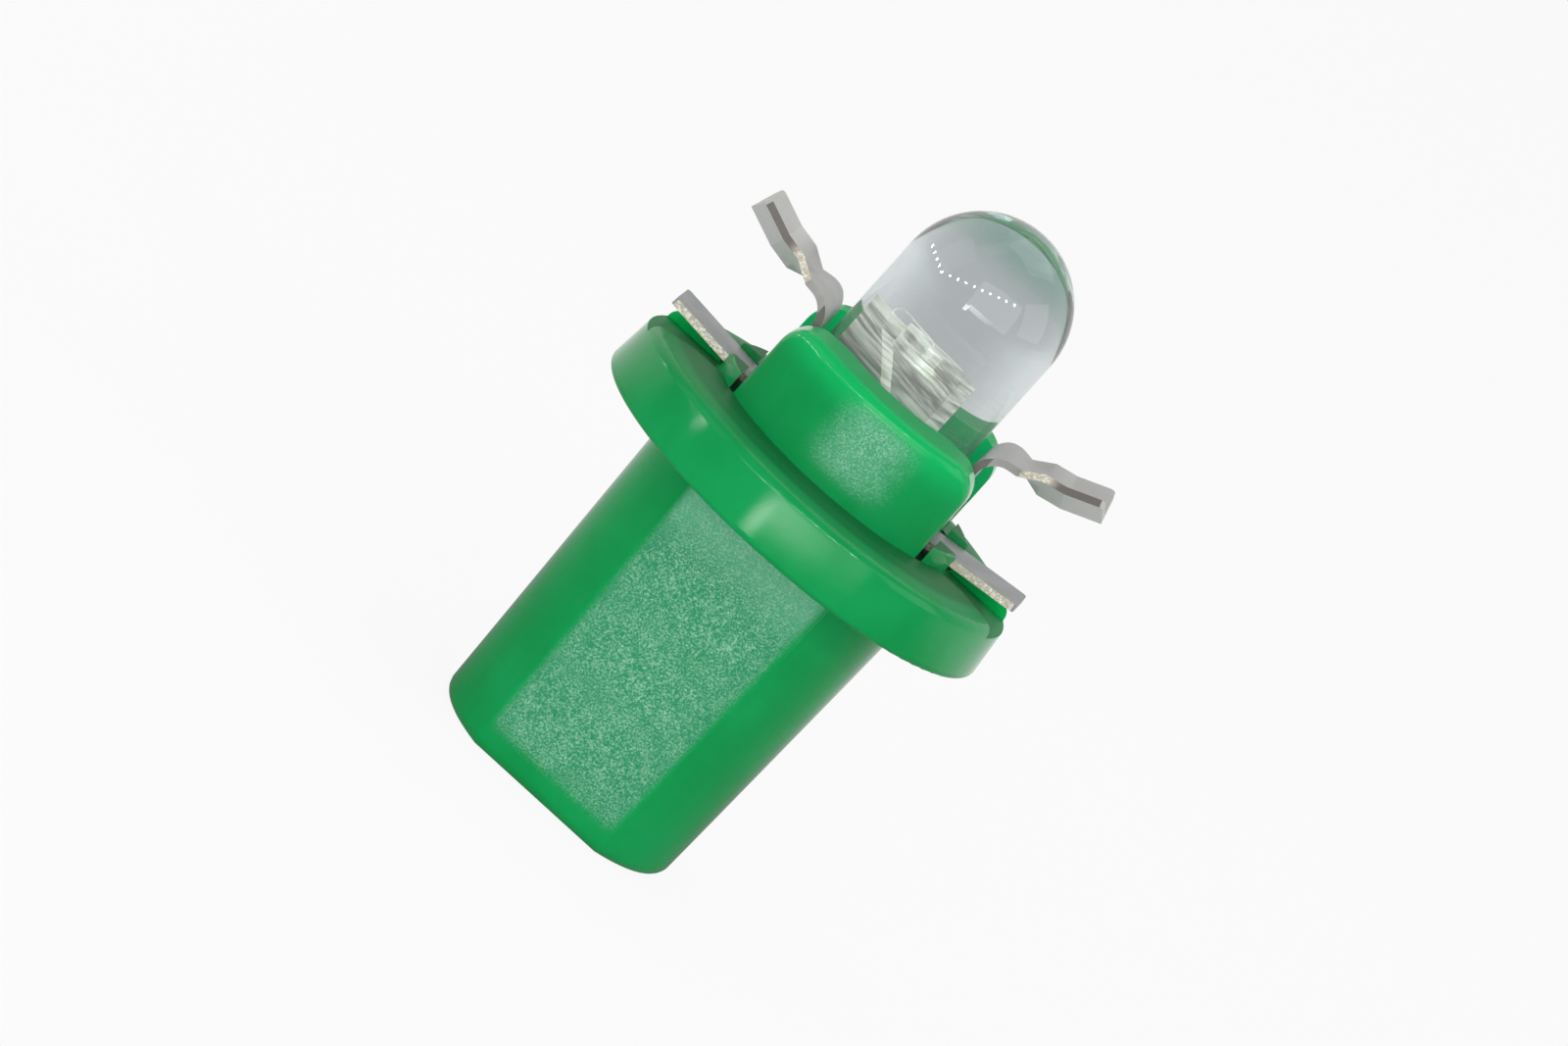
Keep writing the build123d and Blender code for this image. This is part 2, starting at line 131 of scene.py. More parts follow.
def ramp(tree, value, low, high, to_low=0.0, to_high=1.0):
    """Remap a value from one range to another, smoothly and clamped."""
    node = add(tree, "ShaderNodeMapRange", interpolation_type="SMOOTHSTEP", clamp=True)
    feed(tree, node, Value=value, From_Min=low, From_Max=high, To_Min=to_low, To_Max=to_high)
    return node.outputs["Result"]


def band(tree, value, rise, fall):
    """A mask that rises over one range of a value and falls over another."""
    return product(tree, ramp(tree, value, *rise), ramp(tree, value, *fall))


def blend_colours(tree, factor, first, second):
    """Mix two colours by a factor."""
    node = add(tree, "ShaderNodeMix", data_type="RGBA")
    give(tree, node.inputs[0], factor)
    for number, colour in ((6, first), (7, second)):
        value = (*colour, 1.0) if isinstance(colour, tuple) else colour
        give(tree, node.inputs[number], value)
    return node.outputs[2]


def blend_values(tree, factor, first, second):
    """Mix two numbers by a factor."""
    node = add(tree, "ShaderNodeMix", data_type="FLOAT")
    for number, value in ((0, factor), (2, first), (3, second)):
        give(tree, node.inputs[number], value)
    return node.outputs[0]


def split(tree, vector):
    """X, Y and Z of a vector socket."""
    node = add(tree, "ShaderNodeSeparateXYZ")
    tree.links.new(vector, node.inputs[0])
    return node.outputs


def object_point(tree):
    """The surface point in the lamp's own frame, in metres."""
    return add(tree, "ShaderNodeTexCoord").outputs["Object"]


def true_normal(tree):
    """X, Y and Z of the surface's normal, before any bump."""
    return split(tree, add(tree, "ShaderNodeNewGeometry").outputs["True Normal"])


def new_material(name, **values):
    """A material with one Principled BSDF whose plain sockets are set by name."""
    material = bpy.data.materials.new(name)
    material.use_nodes = True
    tree = material.node_tree
    shader = tree.nodes["Principled BSDF"]
    feed(tree, shader, **values)
    return material, tree, shader


def raise_surface(tree, shader, strength, distance, height):
    """Give a shader a bump by a height."""
    bump = add(tree, "ShaderNodeBump")
    feed(tree, bump, Strength=strength, Distance=distance, Height=height)
    feed(tree, shader, Normal=bump.outputs[0])


# ---- effects shared by several finishes -------------------------------------------------
DRIFT_PACE = 0.16  # of the drift to the grain
DRIFT_WEIGHT = 0.16
GLINT_RANGE = (0.50, 0.80)
CLOUD_RANGE = (0.3, 0.7)


def new_group(name, inputs, outputs):
    """A shader node group with named sockets; returns its tree, and both ends inside it."""
    tree = bpy.data.node_groups.new(name, "ShaderNodeTree")
    for socket_name, kind, value in inputs:
        socket = tree.interface.new_socket(socket_name, in_out="INPUT", socket_type=kind)
        if value is not None:
            socket.default_value = value
    for socket_name in outputs:
        tree.interface.new_socket(socket_name, in_out="OUTPUT", socket_type="NodeSocketFloat")
    return tree, add(tree, "NodeGroupInput").outputs, add(tree, "NodeGroupOutput").inputs


def noise(tree, point, scale, detail, roughness):
    """The level of a noise texture."""
    node = add(tree, "ShaderNodeTexNoise")
    feed(tree, node, Vector=point, Scale=scale, Detail=detail, Roughness=roughness)
    return node.outputs["Fac"]


def spark_texture_group():
    """Fine pitted grain of a spark-eroded mould: a height, and a mask of painted glints on the
    grain.
    """
    tree, ins, outs = new_group(
        "Spark Texture",
        [("Point", "NodeSocketVector", None), ("Grain", "NodeSocketFloat", 0.1)],
        ["Height", "Glints"],
    )
    per_metre = math_node(tree, "DIVIDE", 1 / MM, ins["Grain"])
    grain = noise(tree, ins["Point"], per_metre, 3.0, 0.8)
    # A slower noise gathers the painted glints in loose patches.
    drift = noise(tree, ins["Point"], product(tree, per_metre, DRIFT_PACE), 2.0, 0.5)
    lifted = total(tree, grain, product(tree, drift, DRIFT_WEIGHT))
    tree.links.new(grain, outs["Height"])
    tree.links.new(ramp(tree, lifted, *GLINT_RANGE), outs["Glints"])
    return tree


def soft_cloud_group():
    """Slow, soft variation of a moulded or plated surface, from 0 to 1."""
    tree, ins, outs = new_group(
        "Soft Cloud",
        [("Point", "NodeSocketVector", None), ("Size", "NodeSocketFloat", 1.0)],
        ["Value"],
    )
    per_metre = math_node(tree, "DIVIDE", 1 / MM, ins["Size"])
    cloud = noise(tree, ins["Point"], per_metre, 4.0, 0.55)
    tree.links.new(ramp(tree, cloud, *CLOUD_RANGE), outs["Value"])
    return tree


def rolled_grain_group():
    """Drawn or rolled lines: a noise stretched along one direction."""
    tree, ins, outs = new_group(
        "Rolled Grain",
        [
            ("Point", "NodeSocketVector", None),
            ("Stretch", "NodeSocketVector", None),
            ("Line Width", "NodeSocketFloat", 0.05),
        ],
        ["Height"],
    )
    scaled = add(tree, "ShaderNodeVectorMath", operation="MULTIPLY")
    tree.links.new(ins["Point"], scaled.inputs[0])
    tree.links.new(ins["Stretch"], scaled.inputs[1])
    per_metre = math_node(tree, "DIVIDE", 1 / MM, ins["Line Width"])
    tree.links.new(noise(tree, scaled.outputs[0], per_metre, 3.0, 0.6), outs["Height"])
    return tree


SPARK_TEXTURE = spark_texture_group()
SOFT_CLOUD = soft_cloud_group()
ROLLED_GRAIN = rolled_grain_group()


def place_group(tree, group, **values):
    """Put a node group into a material with its own values; returns its outputs."""
    node = add(tree, "ShaderNodeGroup", node_tree=group)
    return feed(tree, node, **values).outputs


# ---- green moulding ---------------------------------------------------------------------
SKIN_GREENS = ((0.003, 0.262, 0.062), (0.005, 0.305, 0.080))
LUG_TOP_LIGHT_GREEN = (0.004, 0.440, 0.115)
POCKET_LIGHT_GREEN = (0.001, 0.560, 0.120)
SEAT_SHADE_GREEN = (0.001, 0.175, 0.042)
FROSTED_GREEN = (0.012, 0.262, 0.108)
PAINTED_LIGHT_GREEN = (0.110, 0.470, 0.260)
GLINT_GREEN = (0.310, 0.620, 0.430)
GLOW_GREEN = (0.004, 0.145, 0.048)
UNLIT = (0.0, 0.0, 0.0)
GLOSSY_ROUGHNESS = (0.06, 0.09)
FROSTED_ROUGHNESS = 0.55
PATCH_MIDDLE = 0.42 * MM  # of the painted highlight on the collar's front, a frosted patch
PATCH_FROSTED, PATCH_LIGHT, PATCH_GLINTS = 0.8, 0.4, 0.95  # how far the painted highlight patch has each look
PEEL_SHARE = (0.06, 1.0)  # how much of the grain is raised, on the skin and where it is frosted
FLAT_TAPER = 0.03  # how much the flats widen with height
CROWN_MIDDLE = (FLANGE_TOP + FLANGE_BOTTOM) / 2 - 0.1 * MM
CROWN_HALF = 0.9 * MM

# Each pair says where a mask is 0 and where it is 1.
FACES_UP = (0.75, 0.95)
LOW_ON_COLLAR = (FLANGE_TOP + 1.0 * MM, FLANGE_TOP + 0.7 * MM)
INSIDE_RIM = (5.75 * MM, 5.45 * MM)
BORE_WALL = (LENS_RADIUS + 0.12 * MM, LENS_RADIUS + 0.08 * MM)
LUG_INNER_FACE = ((1.94 * MM, 1.92 * MM), (1.86 * MM, 1.88 * MM))
BESIDE_LENS = (FLANGE_TOP + 1.0 * MM, FLANGE_TOP + 1.6 * MM)
ON_GRIP = (FLANGE_BOTTOM - 0.05 * MM, FLANGE_BOTTOM - 0.35 * MM)
FLAT_FACES = (0.985, 0.998)
FLAT_FOOT = (0.60 * MM, 1.10 * MM)
FLAT_SIDES = (2.26 * MM, 1.90 * MM)
FLAT_SHEEN = (2.6 * MM, 1.2 * MM, 0.6, 1.0)
UNDER_FLANGE = (FLANGE_BOTTOM - 2.2 * MM, FLANGE_BOTTOM - 0.7 * MM)
COLLAR_FRONT = (
    (FLANGE_TOP + 0.2 * MM, FLANGE_TOP + 0.9 * MM),
    (COLLAR_TOP - 0.2 * MM, COLLAR_TOP - 0.7 * MM),
)
COLLAR_PATCH = (1.6 * MM, 0.2 * MM)
COLLAR_FACES = (0.6, 0.9)
LUG_TOP = (COLLAR_TOP - 1.2 * MM, COLLAR_TOP - 0.1 * MM)
POCKET_LEVEL = (FLANGE_TOP + 0.02 * MM, FLANGE_TOP - 0.02 * MM)
POCKET_FACES = (0.9, 0.95)
POCKET_START = (4.2 * MM, 4.3 * MM)
POCKET_SIDES = (1.75 * MM, 1.70 * MM)
RIM_START = (5.9 * MM, 6.1 * MM, 0.0, 0.8)


def holder_masks(tree, point):
    """Masks of the surfaces of the holder that look different from its glossy skin, among them
    painted light, shade and highlights.
    """
    x, y, z = split(tree, point)
    normal = true_normal(tree)
    facing = absolute(tree, normal[1])
    across = absolute(tree, x)
    from_middle = absolute(tree, y)
    around = math_node(tree, "SQRT", total(tree, product(tree, x, x), product(tree, y, y)))

    masks = {"dull": ramp(tree, normal[2], *FACES_UP)}
    # Painted shade: the flange top around the foot of the collar is painted darker.
    masks["seat"] = product(
        tree, masks["dull"], ramp(tree, z, *LOW_ON_COLLAR), ramp(tree, around, *INSIDE_RIM)
    )
    beside_bore = larger(
        tree, ramp(tree, around, *BORE_WALL), band(tree, from_middle, *LUG_INNER_FACE)
    )
    masks["near_lens"] = product(tree, beside_bore, ramp(tree, z, *BESIDE_LENS))
    masks["flat"] = product(
        tree,
        ramp(tree, z, *ON_GRIP),
        ramp(tree, facing, *FLAT_FACES),
        ramp(tree, z, *FLAT_FOOT),
        ramp(tree, less(tree, across, product(tree, z, FLAT_TAPER)), *FLAT_SIDES),
    )
    # Painted highlight: a frosted patch on the collar's front, placed where light reflects.
    masks["front"] = product(
        tree,
        band(tree, z, *COLLAR_FRONT),
        ramp(tree, absolute(tree, less(tree, x, PATCH_MIDDLE)), *COLLAR_PATCH),
        ramp(tree, facing, *COLLAR_FACES),
    )
    # The sheen is a painted highlight across the middle of the grip flats.
    masks["sheen"] = product(tree, masks["flat"], ramp(tree, across, *FLAT_SHEEN))
    # Painted light on the grip flats just under the flange, which lifts the flange's shade.
    masks["under_flange"] = product(tree, ramp(tree, z, *UNDER_FLANGE), masks["flat"])
    masks["lug_top"] = ramp(tree, z, *LUG_TOP)
    # Painted light: the shaded rear walls of the pockets under the tabs.
    masks["pocket"] = product(
        tree,
        ramp(tree, z, *POCKET_LEVEL),
        ramp(tree, facing, *POCKET_FACES),
        ramp(tree, around, *POCKET_START),
        ramp(tree, from_middle, *POCKET_SIDES),
    )
    # The rim is very slightly crowned between its two edges.
    off_middle = math_node(tree, "DIVIDE", less(tree, z, CROWN_MIDDLE), CROWN_HALF)
    crown = less(tree, 1.0, product(tree, off_middle, off_middle), clamp=True)
    masks["crown"] = product(tree, crown, ramp(tree, around, *RIM_START))
    return masks


def moulded_green():
    """Green moulding: glossy skin, spark-textured grip flats and collar fronts, with painted
    light, shade, highlights and glints and a painted glow beside the lens.
    """
    material, tree, shader = new_material(
        "moulded_green", Metallic=0.0, IOR=1.49, Specular_IOR_Level=0.30
    )
    point = object_point(tree)
    masks = holder_masks(tree, point)
    front = masks["front"]
    textured = larger(tree, masks["flat"], product(tree, front, PATCH_FROSTED))
    spark = place_group(tree, SPARK_TEXTURE, Point=point, Grain=0.06)
    cloud = place_group(tree, SOFT_CLOUD, Point=point, Size=2.6)[0]

    skin = blend_colours(tree, cloud, *SKIN_GREENS)
    # Painted light: the tops of the lugs are painted lighter, where light catches their rounded
    # edges.
    skin = blend_colours(tree, masks["lug_top"], skin, LUG_TOP_LIGHT_GREEN)
    # Painted light: the shaded walls of the pockets under the tabs are painted brighter.
    skin = blend_colours(tree, masks["pocket"], skin, POCKET_LIGHT_GREEN)
    # Painted shade on the flange top around the collar.
    skin = blend_colours(tree, masks["seat"], skin, SEAT_SHADE_GREEN)
    frosted = blend_colours(tree, textured, skin, FROSTED_GREEN)
    # Painted light: the tops of the grip flats, in the flange's shade, and the collar's patch are
    # painted paler.
    painted_light = larger(tree, masks["under_flange"], product(tree, front, PATCH_LIGHT))
    frosted = blend_colours(tree, painted_light, frosted, PAINTED_LIGHT_GREEN)
    # Painted highlight: a sheen across the middle of the grip flats and on the collar's patch,
    # broken into painted glints.
    glint_share = larger(tree, masks["sheen"], product(tree, front, PATCH_GLINTS))
    painted_glints = product(tree, glint_share, spark["Glints"])
    feed(tree, shader, Base_Color=blend_colours(tree, painted_glints, frosted, GLINT_GREEN))
    # Painted light: a faint glow on the walls beside the lens stands in for the light that the
    # clear lens carries down onto them.
    painted_glow = blend_colours(tree, masks["near_lens"], UNLIT, GLOW_GREEN)
    feed(tree, shader, Emission_Color=painted_glow, Emission_Strength=1.0)

    smooth = ramp(tree, cloud, 0.0, 1.0, *GLOSSY_ROUGHNESS)
    rough = larger(tree, textured, masks["dull"])
    feed(tree, shader, Roughness=blend_values(tree, rough, smooth, FROSTED_ROUGHNESS))
    peel = product(tree, spark["Height"], ramp(tree, textured, 0.0, 1.0, *PEEL_SHARE))
    raise_surface(tree, shader, 1.0, 0.03 * MM, total(tree, peel, masks["crown"]))
    return material


# ---- other finishes ---------------------------------------------------------------------
STRIP_GREYS = ((0.40, 0.395, 0.38), (0.49, 0.485, 0.47))
PADDLE_LIGHT_GREY = (0.57, 0.57, 0.55)
TAB_SHADE_GREY = (0.33, 0.34, 0.34)
UNDERSIDE_LIGHT_GREY = (0.80, 0.80, 0.79)
EDGE_HIGHLIGHT_METAL = ((0.50, 0.45, 0.36), (1.0, 0.98, 0.88))
EDGE_SHADE_GREY = (0.16, 0.145, 0.135)
SATIN_ROUGHNESS = (0.42, 0.52)
EDGE_ROUGHNESS = 0.5
STRIP_EDGE = (0.80, 0.86)
ON_TAB = (FLANGE_TOP + 1.6 * MM, FLANGE_TOP + 1.2 * MM)
AT_FOLD = ((3.65 * MM, 3.95 * MM), (4.9 * MM, 4.4 * MM))
ON_PADDLE = (4.2 * MM, 4.9 * MM)
FACES_DOWN = (-0.3, -0.6)

EPOXY_TINTS = ((0.70, 0.755, 0.77), (0.74, 0.79, 0.80))
EPOXY_TIP_REFLECTION = (0.26, 0.50, 0.42)
EPOXY_ROUGHNESS = (0.01, 0.03)
ON_TIP = (LENS_HIGH.z - 1.6 * MM, LENS_HIGH.z - 0.3 * MM)

FRAME_SILVERS = ((0.60, 0.58, 0.52), (1.0, 0.98, 0.90))
FRAME_GLOWS = ((0.06, 0.066, 0.058), (0.24, 0.255, 0.225))
FRAME_ROUGHNESS = (0.30, 0.48)

ROUGHNESS_SPREAD = 0.15  # of the small inner pieces

# Small inner pieces: finish, its two tones, roughness, metallic, size of its unevenness in
# millimetres, painted glow, and the nodes that wear it.
INNER_FINISHES = (
    ("chip", (0.50, 0.48, 0.16), (0.66, 0.62, 0.26), 0.3, 0.0, 0.1, 0.0, ("led_die",)),
    (
        "silver_glue", (0.40, 0.40, 0.40), (0.55, 0.55, 0.54), 0.5, 0.6, 0.1, 0.0,
        ("led_die_attach",),
    ),
    ("bond_wire", (0.62, 0.62, 0.60), (0.72, 0.72, 0.70), 0.5, 0.5, 0.3, 0.3, ("led_bond_wire",)),
    (
        "resistor_lacquer", (0.46, 0.34, 0.18), (0.56, 0.43, 0.25), 0.45, 0.0, 0.5, 0.0,
        ("resistor_body",),
    ),
    (
        "pressed_cap", (0.45, 0.45, 0.44), (0.56, 0.56, 0.55), 0.35, 1.0, 0.4, 0.0,
        ("resistor_cap_lower", "resistor_cap_upper"),
    ),
    (
        "tinned_wire", (0.55, 0.55, 0.53), (0.66, 0.66, 0.64), 0.32, 1.0, 0.4, 0.0,
        ("resistor_lead_lower", "resistor_lead_upper"),
    ),
    (
        "solder", (0.50, 0.50, 0.50), (0.64, 0.64, 0.64), 0.4, 1.0, 0.3, 0.0,
        ("solder_left", "solder_middle", "solder_right"),
    ),
)


def tinned_strip():
    """Tin-plated spring strip: satin faces with rolled lines and sheared edges, with painted
    light and shade on its faces and edges.
    """
    material, tree, shader = new_material("tinned_strip", Metallic=0.45)
    point = object_point(tree)
    x, _, z = split(tree, point)
    across = absolute(tree, x)
    normal = true_normal(tree)
    edge = ramp(tree, absolute(tree, normal[1]), *STRIP_EDGE)
    on_tab = ramp(tree, z, *ON_TAB)
    grain = place_group(
        tree, ROLLED_GRAIN, Point=point, Stretch=(0.12, 1.0, 0.12), Line_Width=0.06
    )[0]
    tear = place_group(tree, SPARK_TEXTURE, Point=point, Grain=0.09)
    cloud = place_group(tree, SOFT_CLOUD, Point=point, Size=0.8)[0]

    face = blend_colours(tree, cloud, *STRIP_GREYS)
    # Painted light and shade: lighter on the paddles and the undersides, darker on the tabs.
    face = blend_colours(tree, ramp(tree, across, *ON_PADDLE), face, PADDLE_LIGHT_GREY)
    face = blend_colours(tree, on_tab, face, TAB_SHADE_GREY)
    face = blend_colours(tree, ramp(tree, normal[2], *FACES_DOWN), face, UNDERSIDE_LIGHT_GREY)
    # Painted highlight and shade: sheared edges are painted bright on the tabs and where the fold
    # starts, and painted dark elsewhere.
    edge_highlight = larger(tree, on_tab, band(tree, across, *AT_FOLD))
    bright = blend_colours(tree, tear["Glints"], *EDGE_HIGHLIGHT_METAL)
    rim = blend_colours(tree, edge_highlight, EDGE_SHADE_GREY, bright)
    feed(tree, shader, Base_Color=blend_colours(tree, edge, face, rim))

    satin = ramp(tree, cloud, 0.0, 1.0, *SATIN_ROUGHNESS)
    feed(tree, shader, Roughness=blend_values(tree, edge, satin, EDGE_ROUGHNESS))
    height = blend_values(tree, edge, grain, tear["Height"])
    raise_surface(tree, shader, 0.5, 0.02 * MM, height)
    return material


def clear_epoxy():
    """Cast epoxy of the LED: clear, a little grey and very slightly hazy, with a painted green
    reflection in its tip.
    """
    material, tree, shader = new_material(
        "clear_epoxy", Metallic=0.0, IOR=1.50, Transmission_Weight=0.96
    )
    point = object_point(tree)
    cloud = place_group(tree, SOFT_CLOUD, Point=point, Size=2.0)[0]
    tint = blend_colours(tree, cloud, *EPOXY_TINTS)
    # Painted reflection: the tip is tinted green as if it mirrored the holder.
    tip_reflection = ramp(tree, split(tree, point)[2], *ON_TIP)
    feed(tree, shader, Base_Color=blend_colours(tree, tip_reflection, tint, EPOXY_TIP_REFLECTION))
    feed(tree, shader, Roughness=ramp(tree, cloud, 0.0, 1.0, *EPOXY_ROUGHNESS))
    return material


def silvered_frame():
    """Silver-plated lead frame with stamping lines across it and a faint painted glow."""
    material, tree, shader = new_material("silvered_frame", Metallic=1.0)
    lines = place_group(
        tree,
        ROLLED_GRAIN,
        Point=object_point(tree),
        Stretch=(0.10, 0.10, 1.0),
        Line_Width=0.16,
    )[0]
    value = ramp(tree, lines, 0.35, 0.65)
    feed(tree, shader, Base_Color=blend_colours(tree, value, *FRAME_SILVERS))
    # Painted light: a faint glow stands in for the light that the lens gathers onto the frame.
    painted_glow = blend_colours(tree, value, *FRAME_GLOWS)
    feed(tree, shader, Emission_Color=painted_glow, Emission_Strength=1.0)
    feed(tree, shader, Roughness=ramp(tree, lines, 0.3, 0.7, *FRAME_ROUGHNESS))
    raise_surface(tree, shader, 0.6, 0.03 * MM, lines)
    return material


def plain_finish(name, dark, light, roughness, metallic, size, painted_glow):
    """A finish for the small inner pieces: two close tones, a soft unevenness and a painted glow
    where one is given.
    """
    material, tree, shader = new_material(
        name, Metallic=metallic, Emission_Color=(painted_glow, painted_glow, painted_glow, 1.0), Emission_Strength=1.0
    )
    cloud = place_group(tree, SOFT_CLOUD, Point=object_point(tree), Size=size)[0]
    feed(tree, shader, Base_Color=blend_colours(tree, cloud, dark, light))
    spread = (roughness * (1.0 - ROUGHNESS_SPREAD), roughness * (1.0 + ROUGHNESS_SPREAD))
    feed(tree, shader, Roughness=ramp(tree, cloud, 0.0, 1.0, *spread))
    raise_surface(tree, shader, 0.3, 0.01 * MM, cloud)
    return material


def dress(material, *nodes):
    """Give CAD nodes their finish."""
    for name in nodes:
        mesh = frame["nodes"][name].data
        mesh.materials.clear()
        mesh.materials.append(material)


def finish_all():
    """Every CAD node in its own finish."""
    dress(moulded_green(), "base_holder")
    dress(tinned_strip(), "contact_left", "contact_right")
    dress(silvered_frame(), "led_anvil", "led_post")
    for *looks, nodes in INNER_FINISHES:
        dress(plain_finish(*looks), *nodes)


# ---- pieces -----------------------------------------------------------------------------
LENS_EDGE_ROUND = 0.12 * MM
FACETS_AROUND = 160
FACETS_ALONG = 91
FLAT_BOTTOM = 0.999  # a face whose normal is steeper than this is the lens's flat bottom


def turned_form_tree():
    """Geometry nodes: a round body with a rolled lower edge and a domed end."""
    tree = bpy.data.node_groups.new("Turned Form", "GeometryNodeTree")
    sockets = {}
    for name, kind in (
        ("Radius", "NodeSocketFloat"),
        ("Bottom", "NodeSocketFloat"),
        ("Dome Level", "NodeSocketFloat"),
        ("Edge Round", "NodeSocketFloat"),
        ("Facets Around", "NodeSocketInt"),
        ("Facets Along", "NodeSocketInt"),
        ("Finish", "NodeSocketMaterial"),
    ):
        sockets[name] = tree.interface.new_socket(name, in_out="INPUT", socket_type=kind)
    tree.interface.new_socket("Geometry", in_out="OUTPUT", socket_type="NodeSocketGeometry")
    ins = add(tree, "NodeGroupInput").outputs
    outs = add(tree, "NodeGroupOutput")
    radius, edge = ins["Radius"], ins["Edge Round"]

    # The rolled edge, the straight wall and the dome each take a third of the rings.
    line = add(tree, "GeometryNodeCurvePrimitiveLine")
    feed(tree, line, End=(0.0, 0.0, 1.0))
    rings = add(tree, "GeometryNodeResampleCurve")
    feed(tree, rings, Curve=line.outputs[0], Count=ins["Facets Along"])
    ring = add(tree, "GeometryNodeInputIndex").outputs[0]
    last_ring = less(tree, ins["Facets Along"], 1.0)
    share = product(tree, math_node(tree, "DIVIDE", ring, last_ring), 3.0)
    edge_turn = product(tree, math_node(tree, "MINIMUM", share, 1.0), pi / 2)
    wall_share = less(tree, share, 1.0, clamp=True)
    dome_turn = product(tree, less(tree, share, 2.0, clamp=True), pi / 2)

    edge_in = product(tree, edge, less(tree, 1.0, math_node(tree, "SINE", edge_turn)))
    edge_up = product(tree, edge, less(tree, 1.0, math_node(tree, "COSINE", edge_turn)))
    wall = less(tree, less(tree, ins["Dome Level"], ins["Bottom"]), edge)
    dome_up = product(tree, radius, math_node(tree, "SINE", dome_turn))
    level = total(tree, edge_up, product(tree, wall, wall_share), dome_up, ins["Bottom"])
    reach = product(tree, radius, math_node(tree, "COSINE", dome_turn))
    reach = less(tree, reach, edge_in)

    place = add(tree, "ShaderNodeCombineXYZ")
    feed(tree, place, Z=level)
    placed = add(tree, "GeometryNodeSetPosition")
    feed(tree, placed, Geometry=rings.outputs[0], Position=place.outputs[0])
    circle = add(tree, "GeometryNodeCurvePrimitiveCircle")
    feed(tree, circle, Resolution=ins["Facets Around"], Radius=1.0)
    skin = add(tree, "GeometryNodeCurveToMesh")
    feed(tree, skin, Curve=placed.outputs[0], Profile_Curve=circle.outputs[0])
    feed(tree, skin, Scale=reach, Fill_Caps=True)
    closed = add(tree, "GeometryNodeMergeByDistance")
    feed(tree, closed, Geometry=skin.outputs[0], Distance=0.002 * MM)
    solid = add(tree, "GeometryNodeRealizeInstances")
    feed(tree, solid, Geometry=closed.outputs[0])
    dressed = add(tree, "GeometryNodeSetMaterial")
    feed(tree, dressed, Geometry=solid.outputs[0], Material=ins["Finish"])
    tree.links.new(dressed.outputs[0], outs.inputs[0])
    return tree, sockets


def plain_mesh(name, tree, sockets, values):
    """Run a geometry tree with its values set and keep the result as a plain mesh."""
    piece = bpy.data.objects.new(name, bpy.data.meshes.new(name))
    bpy.context.collection.objects.link(piece)
    modifier = piece.modifiers.new(name, "NODES")
    modifier.node_group = tree
    for socket_name, value in values.items():
        modifier[sockets[socket_name].identifier] = value
    evaluated = piece.evaluated_get(bpy.context.evaluated_depsgraph_get())
    mesh = bpy.data.meshes.new_from_object(evaluated)
    piece.modifiers.remove(modifier)
    piece.data = mesh
    return piece


def outward(mesh):
    """Make every face of a closed mesh point outwards."""
    shape = bmesh.new()
    shape.from_mesh(mesh)
    bmesh.ops.remove_doubles(shape, verts=shape.verts, dist=1e-6)
    bmesh.ops.recalc_face_normals(shape, faces=shape.faces)
    shape.to_mesh(mesh)
    shape.free()


def lens_body():
    """The clear epoxy body of the LED as one smooth turned form."""
    tree, sockets = turned_form_tree()
    values = {
        "Radius": LENS_RADIUS,
        "Bottom": LENS_LOW.z,
        "Dome Level": DOME_LEVEL,
        "Edge Round": LENS_EDGE_ROUND,
        "Facets Around": FACETS_AROUND,
        "Facets Along": FACETS_ALONG,
        "Finish": clear_epoxy(),
    }
    piece = plain_mesh("lens_body", tree, sockets, values)
    outward(piece.data)
    for face in piece.data.polygons:
        face.use_smooth = abs(face.normal.z) < FLAT_BOTTOM or face.center.z > DOME_LEVEL
    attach(piece, "root")
    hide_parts("led_lens")


# ---- floor and room ---------------------------------------------------------------------
WHITE = (1.0, 1.0, 1.0, 1.0)
FLOOR_SIZE = 3.0
FLOOR_GREY = (0.80, 0.80, 0.80, 1.0)
FLOOR_GLOW = (0.30, 0.90)  # share of glow, to rays that light the lamp and to rays that show it
FLOOR_BENT_SHADOW = (10.0 * MM, 70.0 * MM, 0.56, 0.95)  # painted shadow: darker near the lamp, lighter out to the sides
FLOOR_MIRRORED = (-10.0 * MM, 60.0 * MM, 0.12, 0.95)  # from the front to the back
ROOM_BENT = (0.85, 0.35, 0.61, 1.0)  # from straight behind to the sides
ROOM_MIRRORED = (0.0, 0.8, 0.22, 0.95)  # from the side to straight behind
ROOM_LIGHT = 0.35


def background_level(tree, bent_level, mirrored_level):
    """White to a straight ray, and its own level to a bent or a mirrored ray."""
    rays = add(tree, "ShaderNodeLightPath").outputs
    camera_ray, bent, glossy = (
        rays[name] for name in ("Is Camera Ray", "Is Transmission Ray", "Is Glossy Ray")
    )
    # A bent ray counts as a glossy one too, so only the others are mirrored.
    mirrored = product(tree, glossy, mirrored_level, less(tree, 1.0, bent))
    level = total(tree, camera_ray, product(tree, bent, bent_level), mirrored, clamp=True)
    return level, total(tree, camera_ray, bent, glossy, clamp=True)


